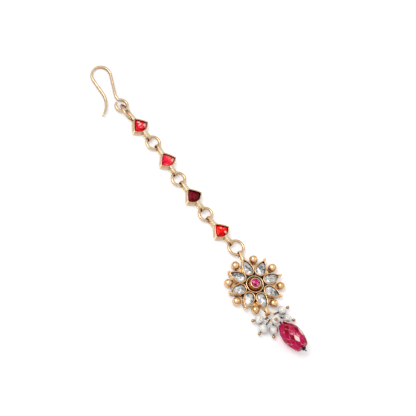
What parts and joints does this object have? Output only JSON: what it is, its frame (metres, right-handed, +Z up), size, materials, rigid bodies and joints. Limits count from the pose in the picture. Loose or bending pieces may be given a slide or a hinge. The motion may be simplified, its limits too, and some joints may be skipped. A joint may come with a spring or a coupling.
{
  "type": "maang tikka",
  "caption": "Forehead jewel: hair hook, chain of stone-set links and jump rings, petal rosette pendant with clear and red stones, pearl cluster and faceted drop.",
  "frame": {"origin": "middle of the rosette's flat back, on the surface that the jewel lies on", "axes": "+Y from the rosette up the chain to the hook, +Z up out of the surface, +X to the right seen from above with the hook away from the viewer"},
  "size_m": [0.022, 0.1262, 0.0079],
  "materials": {
    "gold": "polished gold plating",
    "deep_gold": "cast and polished gold plating, darker in the recesses",
    "dark_metal": "oxidised, rubbed bright on the high places",
    "clear_stone": "polished flat-cut stone over foil",
    "magenta_stone": "polished faceted stone",
    "ruby": "polished faceted bead",
    "link_stone_1": "polished faceted stone",
    "link_stone_2": "polished faceted stone",
    "link_stone_3": "polished faceted stone",
    "link_stone_4": "polished faceted stone",
    "pearl": "lustrous pearl"
  },
  "bodies": {
    "root": {"hook": "gold", "ring_1": "gold", "ring_2": "gold", "ring_3": "gold", "ring_4": "gold", "ring_5": "gold", "link_setting_1": "gold", "link_setting_2": "gold", "link_setting_3": "gold", "link_setting_4": "gold", "link_stone_1": "link_stone_1", "link_stone_2": "link_stone_2", "link_stone_3": "link_stone_3", "link_stone_4": "link_stone_4", "rosette_setting": "deep_gold", "petal_stone_1": "clear_stone", "petal_stone_2": "clear_stone", "petal_stone_3": "clear_stone", "petal_stone_4": "clear_stone", "petal_stone_5": "clear_stone", "petal_stone_6": "clear_stone", "petal_stone_7": "clear_stone", "petal_stone_8": "clear_stone", "centre_stone": "magenta_stone", "cluster_ring": "deep_gold", "pearl_1": "pearl", "pearl_pin_1": "gold", "pearl_2": "pearl", "pearl_pin_2": "gold", "pearl_3": "pearl", "pearl_pin_3": "gold", "pearl_4": "pearl", "pearl_pin_4": "gold", "pearl_5": "pearl", "pearl_pin_5": "gold", "pearl_6": "pearl", "pearl_pin_6": "gold", "drop_bead": "ruby", "drop_pin": "dark_metal", "end_bead": "dark_metal"}
  },
  "joints": []
}
